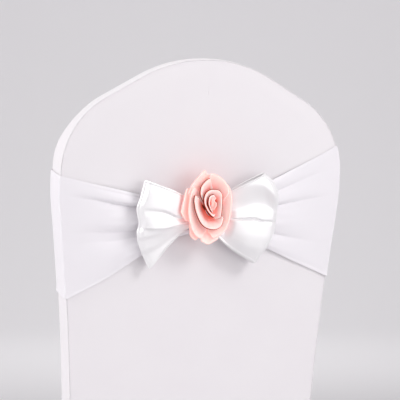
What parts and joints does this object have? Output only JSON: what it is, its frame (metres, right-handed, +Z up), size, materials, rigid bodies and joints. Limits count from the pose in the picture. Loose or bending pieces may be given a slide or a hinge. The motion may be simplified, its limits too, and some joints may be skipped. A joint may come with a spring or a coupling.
{
  "type": "chair cover with sash",
  "caption": "Fitted white stretch cover for a crown-back banquet chair, with a gathered stretch sash, a satin bow and a foam rose at the back.",
  "frame": {"origin": "inside the top of the cover, under the middle of the crown and midway through the back's depth, where the chair's crown rail carries it", "axes": "+Z up; the chair's sitter looks along +Y, so the rear panel with the bow faces -Y; +X is to the right as the rear panel is seen"},
  "size_m": [0.4372, 0.5721, 0.9792],
  "materials": {
    "knit": "smooth matt stretch knit",
    "foot_pocket": "matt doubled knit",
    "sash": "smooth matt stretch knit, gathered in folds",
    "satin": "glossy satin",
    "foam": "soft matt foam sheet"
  },
  "bodies": {
    "root": {"rear_panel": "knit", "front_panel": "knit", "side_band": "knit", "foot_pocket_rear_left": "foot_pocket", "foot_pocket_rear_right": "foot_pocket", "foot_pocket_front_left": "foot_pocket", "foot_pocket_front_right": "foot_pocket", "sash_band": "sash", "satin_bow": "satin", "rose_bud": "foam", "rose_inner_1": "foam", "rose_inner_2": "foam", "rose_inner_3": "foam", "rose_middle_1": "foam", "rose_middle_2": "foam", "rose_middle_3": "foam", "rose_outer_1": "foam", "rose_outer_2": "foam", "rose_outer_3": "foam", "rose_outer_4": "foam", "rose_base_1": "foam", "rose_base_2": "foam", "rose_base_3": "foam", "rose_base_4": "foam", "rose_base_5": "foam"}
  },
  "joints": []
}
